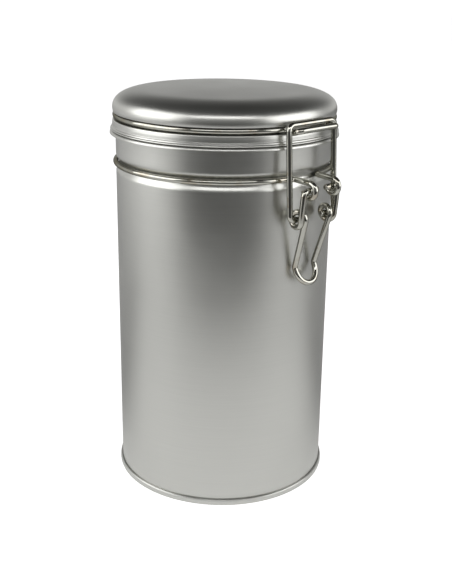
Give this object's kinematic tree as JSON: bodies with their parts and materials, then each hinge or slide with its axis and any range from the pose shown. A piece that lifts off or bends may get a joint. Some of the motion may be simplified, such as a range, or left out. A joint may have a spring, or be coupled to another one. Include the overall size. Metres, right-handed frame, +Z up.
{
  "type": "clip-top food canister",
  "caption": "Tall round tinplate canister with a hinged domed lid, sealing ring and an over-centre wire bail clasp that clamps the lid shut.",
  "frame": {"origin": "on the can's axis, at the level of the surface it stands on", "axes": "+Z up along the can's axis, -Y towards the clasp, +Y towards the lid's hinge, +X to the right of someone facing the clasp"},
  "size_m": [0.0906, 0.1094, 0.1606],
  "materials": {
    "tinplate": "satin",
    "nickel_wire": "bright nickel plate",
    "silicone": "soft matte"
  },
  "bodies": {
    "can": {"can_wall": "tinplate", "base_end": "tinplate", "body_hoop": "nickel_wire"},
    "lid": {"lid_cap": "tinplate", "gasket": "silicone", "lid_hoop": "nickel_wire"},
    "lever": {"lever": "nickel_wire"},
    "bail": {"bail": "nickel_wire"}
  },
  "joints": [
    {"name": "lid_hinge", "type": "hinge", "parent": "can", "child": "lid", "pos_m": [0, 0.0506, 0.1465], "axis": [-1, 0, 0], "range_deg": [0, 200]},
    {"name": "lever_pivot", "type": "hinge", "parent": "can", "child": "lever", "pos_m": [0, -0.0512, 0.1288], "axis": [-1, 0, 0], "range_deg": [0, 165]},
    {"name": "bail_pivot", "type": "hinge", "parent": "lever", "child": "bail", "pos_m": [0, -0.0473, 0.11765], "axis": [1, 0, 0], "range_deg": [0, 231.1]}
  ],
  "couplings": [
    {"joint": "bail_pivot", "follows": "lever_pivot", "ratio": 1.4}
  ]
}
